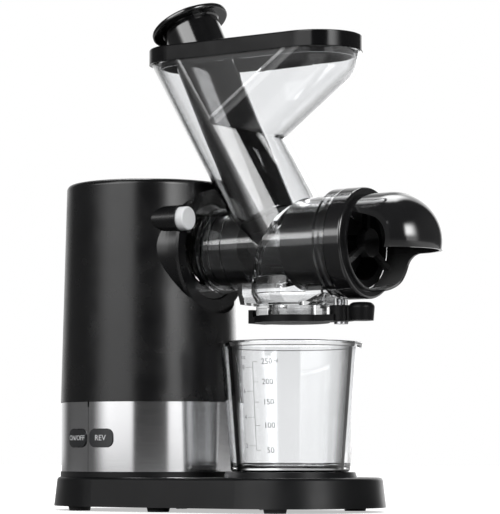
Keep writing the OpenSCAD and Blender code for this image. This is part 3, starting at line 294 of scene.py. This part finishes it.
# the finishes of single nodes, and the inks
GLOSSY = {"grain": 30, "strength": 0.02, "depth": 0.0002, "spread": 0.02}
plastic("pusher_black", (0.0030, 0.0030, 0.0034), (0.0042, 0.0042, 0.0046), rough=0.13,
        specular=0.85, **GLOSSY)
plastic("rim_black", (0.0030, 0.0030, 0.0034), (0.0042, 0.0042, 0.0046), rough=0.14,
        specular=0.32, **GLOSSY)
plastic("cap_black", (0.0075, 0.0075, 0.0080), (0.0100, 0.0100, 0.0106), rough=0.11,
        specular=0.8, **GLOSSY)
plastic("lever_black", (0.0034, 0.0034, 0.0038), (0.0048, 0.0048, 0.0052), rough=0.40,
        grain=1500, depth=0.00004, specular=0.13)
plastic("base_black", (0.0042, 0.0043, 0.0047), (0.0060, 0.0062, 0.0067), rough=0.36,
        grain=1400, depth=0.00004, specular=0.2)
# the cup's painted shade: dark bands near its sides and a thin dark outline at its edges
clear("cup_clear", ((0.0, 0.94), (0.15, 0.97), (0.22, 0.72), (0.286, 0.58), (0.352, 0.18),
                    (0.415, 0.04), (0.455, 0.0), (0.545, 0.0), (0.57, 1.0), (0.90, 1.0),
                    (0.97, 0.15)), specular=0.4)
printed("pale_print", (0.60, 0.61, 0.62), (0.74, 0.75, 0.76))
printed("grey_print", (0.16, 0.16, 0.17), (0.24, 0.24, 0.25))

OWN_FINISH = {
    "pusher": "pusher_black",
    "hopper_rim": "rim_black",
    "valve_lever": "lever_black",
    "juice_cup": "cup_clear",
    "end_cap": "cap_black",
    "base_tray": "base_black",
}

slots = {row["node"]: row["material_slot"] for row in frame["record"]["subparts"]}
for name, obj in frame["nodes"].items():
    finish = MATERIALS[OWN_FINISH.get(name, slots[name])]
    if obj.material_slots:
        for slot in obj.material_slots:
            slot.material = finish
    else:
        obj.data.materials.append(finish)

# ------------------------------------------------------------------ painted shade and light by place

WALL_GAP = 0.0008              # the cup's outside counts from this far inside its outer wall
LIP_OUT = 0.0020               # and its lip from this far outside of there
LIP_LINES = 0.0011             # the lip's two lines of painted shade start this far from its middle
LIP_SHADE_PLACE = 0.44               # place of those lines on the scale of shades
CUP_FOOT_SHADE = (0.0256, 0.30)      # top of a band of painted shade low on the cup, and its place on the scale of shades
# bands of painted shade low on the drum, round its outlet
OUTLET_RING_SHADE = (0.1195, 0.54)
OUTLET_EDGE_SHADE = (0.1125, 0.62)
# radius of the end cap's hollow, and the grey of the light painted into its low inner wall
CAP_HOLLOW_R = 0.0261
CAP_PAINTED_LIGHT_GREY = 0.10


def shade_outside(mat):
    """Keeps the painted edge shades of the cup to its outer surface, so that they show once,
    and paints two lines of shade on its lip.
    """
    tree = mat.node_tree
    x, y, z = axes(tree)
    radius = calc(tree, "SQRT", square_sum(tree, calc(tree, "SUBTRACT", x, CUP_X), y))
    wall = calc(tree, "MULTIPLY_ADD", z, CUP_TAPER, cup_radius(0) - WALL_GAP)
    outside = calc(tree, "GREATER_THAN", radius, wall)
    lip = calc(tree, "GREATER_THAN", radius, calc(tree, "ADD", wall, LIP_OUT))
    middle = calc(tree, "ABSOLUTE", calc(tree, "SUBTRACT", z, LIP_Z))
    line = calc(tree, "MULTIPLY", lip, calc(tree, "GREATER_THAN", middle, LIP_LINES))
    facing = find(tree, "LAYER_WEIGHT").outputs["Facing"]
    tree.links.new(calc(tree, "MAXIMUM", calc(tree, "MULTIPLY", line, LIP_SHADE_PLACE),
                        calc(tree, "MULTIPLY", facing, outside)),
                   find(tree, "VALTORGB").inputs["Fac"])


def shade_below(mat, height, place):
    """Paints shade on the part of a clear piece that is below this height, at least at this
    place on the scale of shades.
    """
    tree = mat.node_tree
    low = calc(tree, "LESS_THAN", axes(tree)[2], height)
    factor = find(tree, "VALTORGB").inputs["Fac"]
    before = factor.links[0].from_socket
    tree.links.new(calc(tree, "MAXIMUM", before, calc(tree, "MULTIPLY", low, place)), factor)


def pale_inside(mat, radius, grey):
    """Paints light into the colour of the low inner wall of the end cap, which the barrel's
    axis runs through: a grey that grows towards the bottom and stands in for light bounced up
    into it.
    """
    tree = mat.node_tree
    _, y, z = axes(tree)
    z = calc(tree, "SUBTRACT", z, AXIS_Z)
    reach = calc(tree, "SQRT", square_sum(tree, y, z))
    depth = calc(tree, "MULTIPLY", calc(tree, "MAXIMUM", calc(tree, "MULTIPLY", z, -1.0), 0.0),
                 1 / radius)
    inside = calc(tree, "MULTIPLY", calc(tree, "LESS_THAN", reach, radius), depth)
    colour = find(tree, "BSDF_PRINCIPLED").inputs["Base Color"]
    mix = tree.nodes.new("ShaderNodeMix")
    mix.data_type = "RGBA"
    mix.inputs["B"].default_value = (grey, grey, grey, 1)
    tree.links.new(inside, mix.inputs["Factor"])
    tree.links.new(colour.links[0].from_socket, mix.inputs["A"])
    tree.links.new(mix.outputs["Result"], colour)


# painted light in the end cap's hollow
pale_inside(MATERIALS["cap_black"], CAP_HOLLOW_R, CAP_PAINTED_LIGHT_GREY)
# painted shade on the cup's edges, lip and foot
shade_outside(MATERIALS["cup_clear"])
shade_below(MATERIALS["cup_clear"], *CUP_FOOT_SHADE)
# painted shade on the drum's outlet
shade_below(MATERIALS["clear_plastic"], *OUTLET_RING_SHADE)
shade_below(MATERIALS["clear_plastic"], *OUTLET_EDGE_SHADE)

# ------------------------------------------------------------------ lettering

PRINT_THICK = 0.00006
LONG_EDGE = 0.0016             # longer edges of a print are cut to follow the round


def mesh_from(name, bm):
    mesh = bpy.data.meshes.new(name)
    bm.to_mesh(mesh)
    bm.free()
    return mesh


def link(name, bm, mat, body):
    mesh = mesh_from(name, bm)
    obj = bpy.data.objects.new(name, mesh)
    bpy.context.scene.collection.objects.link(obj)
    mesh.materials.append(mat)
    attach(obj, body)
    return obj


def text_shapes(words, height):
    """Flat outline of words as (vertices, faces), centred."""
    curve = bpy.data.curves.new("tmp", "FONT")
    curve.body = words
    curve.size = height
    curve.align_x = "CENTER"
    curve.align_y = "CENTER"
    curve.resolution_u = 3
    obj = bpy.data.objects.new("tmp", curve)
    bpy.context.scene.collection.objects.link(obj)
    bpy.context.view_layer.update()
    mesh = bpy.data.meshes.new_from_object(obj)
    verts = [v.co.copy() for v in mesh.vertices]
    faces = [list(p.vertices) for p in mesh.polygons]
    bpy.data.objects.remove(obj)
    bpy.data.curves.remove(curve)
    bpy.data.meshes.remove(mesh)
    return verts, faces


def moved(flat, dx, dy):
    verts, faces = flat
    return [v + Vector((dx, dy, 0)) for v in verts], faces


def block(x0, x1, y0, y1):
    corners = ((x0, y0), (x1, y0), (x1, y1), (x0, y1))
    return [Vector((x, y, 0)) for x, y in corners], [[0, 1, 2, 3]]


def wrap(name, flats, radius_at, turn, centre, mat, body):
    """Lays flat shapes (x along the round, y up) on an upright round surface."""
    bm = bmesh.new()
    for verts, faces in flats:
        made = [bm.verts.new(co) for co in verts]
        for face in faces:
            try:
                bm.faces.new([made[i] for i in face])
            except ValueError:      # a letter may name a face twice
                pass
    bmesh.ops.subdivide_edges(
        bm, edges=[edge for edge in bm.edges if edge.calc_length() > LONG_EDGE], cuts=3,
        use_grid_fill=False)
    bmesh.ops.triangulate(bm, faces=bm.faces)
    raised = bmesh.ops.extrude_face_region(bm, geom=bm.faces[:])
    for item in raised["geom"]:
        if isinstance(item, bmesh.types.BMVert):
            item.co.z += PRINT_THICK
    bmesh.ops.recalc_face_normals(bm, faces=bm.faces)
    for v in bm.verts:
        radius = radius_at(v.co.y) + v.co.z
        angle = turn + v.co.x / radius
        v.co = Vector((centre[0] + radius * math.cos(angle),
                       centre[1] + radius * math.sin(angle), centre[2] + v.co.y))
    return link(name, bm, mat, body)


PANEL = math.radians(-96)      # middle of the two buttons, seen from the housing's axis
BUTTON_TURN = math.radians(10.4)
BUTTON_Z = 0.041
BUTTON_FACE_R = 0.0516
for name, words, height, turn, body in (
        ("power_lettering", "ON/OFF", 0.0040, PANEL - BUTTON_TURN, "power_key"),
        ("reverse_lettering", "REV", 0.0044, PANEL + BUTTON_TURN, "reverse_key")):
    wrap(name, [text_shapes(words, height)], lambda y: BUTTON_FACE_R, turn,
         (HOUSING_X, 0, BUTTON_Z), MATERIALS["pale_print"], body)

CUP_TURN = math.radians(-89)
MILLILITRES = ((50, 0.0340), (100, 0.0475), (150, 0.0602), (200, 0.0712), (250, 0.0822))
OUNCES = ((2, 0.0365), (4, 0.0520), (6, 0.0662), (8, 0.0792))
LINE_HALF = 0.00012
# marks of a scale, start, end and thickness of a mark, place and height of a number
SCALES = (
    (MILLILITRES, (0.0003, 0.0029, 0.00022), (0.0086, 0.0044)),
    (OUNCES, (-0.0048, -0.0003, 0.00018), (-0.0064, 0.0034)),
)
# word, place along the round, height above the ground and height of the letters
UNITS = (("ml", 0.0137, 0.0826, 0.0030), ("oz", -0.0064, 0.0848, 0.0034))

flats = [block(-LINE_HALF, LINE_HALF, MILLILITRES[0][1], MILLILITRES[-1][1])]
for marks, (start, end, thick), (place, height) in SCALES:
    for amount, z in marks:
        flats.append(block(start, end, z - thick / 2, z + thick / 2))
        flats.append(moved(text_shapes(str(amount), height), place, z))
for unit, place, z, height in UNITS:
    flats.append(moved(text_shapes(unit, height), place, z))
wrap("cup_scale", flats, cup_radius, CUP_TURN, (CUP_X, 0, 0), MATERIALS["grey_print"], "cup")

# ------------------------------------------------------------------ release spring

WIRE = 0.00036                 # radius of the wire
WIRE_SIDES = 10
TURNS = 4.5
CLOSED = 1.4                   # turns that lie close together, half of them at each end
CLOSE_PITCH = 0.0006
STEPS = 108


def wire(path, axis):
    """A round wire along the points of a path round an axis, closed at both ends."""
    bm = bmesh.new()
    rings = []
    for i, here in enumerate(path):
        ahead = path[min(i + 1, len(path) - 1)] - path[max(i - 1, 0)]
        out = Vector((0, here.y - axis[0], here.z - axis[1])).normalized()
        up = ahead.cross(out).normalized()
        ring = []
        for k in range(WIRE_SIDES):
            angle = 2 * math.pi * k / WIRE_SIDES
            ring.append(bm.verts.new(
                here + (out * math.cos(angle) + up * math.sin(angle)) * WIRE))
        rings.append(ring)
    for one, two in zip(rings, rings[1:]):
        for k in range(WIRE_SIDES):
            after = (k + 1) % WIRE_SIDES
            bm.faces.new((one[k], one[after], two[after], two[k]))
    bm.faces.new(rings[0])
    bm.faces.new(rings[-1])
    bmesh.ops.recalc_face_normals(bm, faces=bm.faces)
    for face in bm.faces:
        face.smooth = True
    return bm


low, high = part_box("release_spring")
spring_axis = ((low[1] + high[1]) / 2, (low[2] + high[2]) / 2)
coil = (high[2] - low[2]) / 2 - WIRE
spring_path = []
for i in range(STEPS + 1):
    t = i / STEPS
    angle = 2 * math.pi * TURNS * t
    rise = min(max((t * TURNS - CLOSED / 2) / (TURNS - CLOSED), 0), 1)
    x = (low[0] + WIRE + CLOSE_PITCH * (t * TURNS - rise * (TURNS - CLOSED))
         + rise * (high[0] - low[0] - 2 * WIRE - CLOSE_PITCH * CLOSED))
    spring_path.append(Vector((x, spring_axis[0] + coil * math.cos(angle),
                               spring_axis[1] + coil * math.sin(angle))))
spring = link("spring_wire", wire(spring_path, spring_axis), MATERIALS["plain_steel"],
              "housing")
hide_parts("release_spring")
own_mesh(spring)

# ------------------------------------------------------------------ camera

SENSOR = 36                    # in millimetres, as Blender counts it
FRAME_WIDTH = 500              # of the photograph, in pixels
FOCAL = 2455.8                 # in the same pixels
TURN = 0.6034                  # the view's turn from +Y towards -X, in radians
PITCH = 0.0796                 # its rise, in radians
FIT = 1.045                    # the part's scale over that of the camera's fit
ASIDE = 0.055734 * FIT
AWAY = 1.36527 * FIT
EYE_Z = 0.031238 * FIT

c, s = math.cos(TURN), math.sin(TURN)
TOWARDS = (s, -c, 0)           # level direction from the part to the camera
RIGHT = (c, s, 0)              # level direction to the right in the picture

scene = bpy.context.scene
scene.view_settings.view_transform = "Standard"
cam_data = bpy.data.cameras.new("camera")
cam = bpy.data.objects.new("camera", cam_data)
scene.collection.objects.link(cam)
scene.camera = cam
cam_data.sensor_fit = "HORIZONTAL"
cam_data.sensor_width = SENSOR
cam_data.lens = SENSOR * FOCAL / FRAME_WIDTH
cam_data.clip_start = 0.05
cam_data.clip_end = 30
cam.location = (ASIDE * c + AWAY * s + HOUSING_X, ASIDE * s - AWAY * c, EYE_Z)
view = Vector((-s * math.cos(PITCH), c * math.cos(PITCH), math.sin(PITCH)))
cam.rotation_euler = view.to_track_quat("-Z", "Y").to_euler()

# ------------------------------------------------------------------ floor

FLOOR_HALF = 4
FLOOR_SEEN = (0.65, 0.65, 0.65, 1)     # colour of the floor for the camera
FLOOR_GLOW = 0.5                       # and its glow there, which make white together
SECTORS = 3.0                          # light sectors of the near floor
SECTOR_GLOW = 0.5
NEAR, FAR = 0.4, 0.8                   # distances between which they fade out


def seen_directly(tree):
    """A value of 1 where a ray comes from the camera, straight or through clear plastic."""
    path = tree.nodes.new("ShaderNodeLightPath")
    bounces = calc(tree, "ADD", path.outputs["Glossy Depth"], path.outputs["Diffuse Depth"])
    through = calc(tree, "MULTIPLY", path.outputs["Is Transmission Ray"],
                   calc(tree, "LESS_THAN", bounces, 0.5))
    return calc(tree, "MAXIMUM", path.outputs["Is Camera Ray"], through)


bm = bmesh.new()
bmesh.ops.create_grid(bm, x_segments=2, y_segments=2, size=FLOOR_HALF)
floor_mesh = mesh_from("floor", bm)
floor = bpy.data.objects.new("floor", floor_mesh)
scene.collection.objects.link(floor)

floor_mat = bpy.data.materials.new("floor")
floor_mat.use_nodes = True
tree = floor_mat.node_tree
tree.nodes.clear()
seen = seen_directly(tree)

# other rays see the floor's colour painted lighter from the machine's dark side to its light
# side, a painted shade
dark_side = [0.42 * t - 0.91 * r for t, r in zip(TOWARDS, RIGHT)]
level = fade(tree, along(tree, dark_side, "Object"), start=0.12, end=-0.80, low=0.10,
             high=0.60)
grey = tree.nodes.new("ShaderNodeCombineColor")
for socket in grey.inputs:
    tree.links.new(level, socket)
pale = tree.nodes.new("ShaderNodeMix")
pale.data_type = "RGBA"
tree.links.new(seen, pale.inputs["Factor"])
tree.links.new(grey.outputs[0], pale.inputs["A"])
pale.inputs["B"].default_value = FLOOR_SEEN
diffuse = tree.nodes.new("ShaderNodeBsdfDiffuse")
tree.links.new(pale.outputs["Result"], diffuse.inputs["Color"])

# gloss rays see soft light and dark sectors on the near floor, as in a studio with low panels
ahead = along(tree, TOWARDS, "Object")
aside = along(tree, RIGHT, "Object")
lobes = calc(tree, "COSINE",
             calc(tree, "MULTIPLY", calc(tree, "ARCTAN2", aside, ahead), SECTORS))
near = fade(tree, square_sum(tree, ahead, aside), start=NEAR ** 2, end=FAR ** 2, low=1.0,
            high=0.0)
sectors = calc(tree, "MULTIPLY",
               fade(tree, lobes, start=-0.2, end=0.8, high=SECTOR_GLOW), near)
gloss = tree.nodes.new("ShaderNodeLightPath").outputs["Is Glossy Ray"]
sectors = calc(tree, "MULTIPLY", sectors,
               calc(tree, "MULTIPLY", gloss, calc(tree, "SUBTRACT", 1.0, seen)))
glow = tree.nodes.new("ShaderNodeEmission")
glow.inputs["Color"].default_value = (1, 1, 1, 1)
tree.links.new(calc(tree, "MULTIPLY_ADD", seen, FLOOR_GLOW, sectors), glow.inputs["Strength"])
both = tree.nodes.new("ShaderNodeAddShader")
tree.links.new(diffuse.outputs[0], both.inputs[0])
tree.links.new(glow.outputs[0], both.inputs[1])
out = tree.nodes.new("ShaderNodeOutputMaterial")
tree.links.new(both.outputs[0], out.inputs["Surface"])
floor_mesh.materials.append(floor_mat)

# ------------------------------------------------------------------ light

# Light panels as (turn, rise, strength). Each of turn and rise gives four angles in degrees,
# between which the panel fades in, shines and fades out. The turn counts to the right from
# the direction of the camera
PANELS = (
    ((-78, -52, -21, -17), (-10, 2, 34, 46), 1.7),
    ((-86, -76, -60, -50), (10.5, 13, 19, 26), 3.6),
    ((-62, -50, -21, -17), (9, 15, 34, 46), 3.6),
    ((24, 29, 44, 62), (-10, 2, 28, 44), 1.6),
    ((20, 29, 33, 56), (4, 17, 24, 40), 12.0),
)
# and for those behind the machine from the opposite direction
BACK_PANELS = (
    ((-48, -14, 8, 38), (40, 58, 70, 84), 8.0),
    ((4, 12, 32, 42), (-12, 0, 40, 60), 1.5),
)
EVEN_SHARE = 0.4               # of the panels' light, on matt surfaces
EVEN_BASE = 0.55               # even light of the room, on matt surfaces

world = bpy.data.worlds.new("studio")
scene.world = world
world.use_nodes = True
tree = world.node_tree
tree.nodes.clear()


def panel(bearing, height, turn, rise, strength):
    light = strength
    for value, angles in ((bearing, turn), (height, rise)):
        a, b, c, d = (math.radians(angle) for angle in angles)
        light = calc(tree, "MULTIPLY", fade(tree, value, a, b), light)
        light = calc(tree, "MULTIPLY", fade(tree, value, c, d, low=1.0, high=0.0), light)
    return light


towards = along(tree, TOWARDS)
right = along(tree, RIGHT)
height = calc(tree, "ARCSINE", along(tree, (0, 0, 1)))
front = calc(tree, "ARCTAN2", right, towards)
back = calc(tree, "ARCTAN2", right, calc(tree, "MULTIPLY", towards, -1.0))
light = calc(tree, "ADD", fade(tree, towards, start=-0.62, end=-1.0, low=0.035, high=0.94),
             fade(tree, calc(tree, "ABSOLUTE", right), start=0.5, end=0.95, high=0.10))
for bearing, panels in ((front, PANELS), (back, BACK_PANELS)):
    for values in panels:
        light = calc(tree, "ADD", light, panel(bearing, height, *values))

# matt surfaces see the panels dimmed, in an evenly lit room
matt = tree.nodes.new("ShaderNodeLightPath").outputs["Is Diffuse Ray"]
even = calc(tree, "MULTIPLY_ADD", light, EVEN_SHARE, EVEN_BASE)
light = calc(tree, "ADD", calc(tree, "MULTIPLY", even, matt),
             calc(tree, "MULTIPLY", light, calc(tree, "SUBTRACT", 1.0, matt)))

white = tree.nodes.new("ShaderNodeBackground")
white.inputs["Color"].default_value = (1, 1, 1, 1)
white.inputs["Strength"].default_value = 1.0
room = tree.nodes.new("ShaderNodeBackground")
room.inputs["Color"].default_value = (1, 1, 1, 1)
tree.links.new(light, room.inputs["Strength"])
mix = tree.nodes.new("ShaderNodeMixShader")
tree.links.new(seen_directly(tree), mix.inputs[0])
tree.links.new(room.outputs[0], mix.inputs[1])
tree.links.new(white.outputs[0], mix.inputs[2])
out = tree.nodes.new("ShaderNodeOutputWorld")
tree.links.new(mix.outputs[0], out.inputs["Surface"])
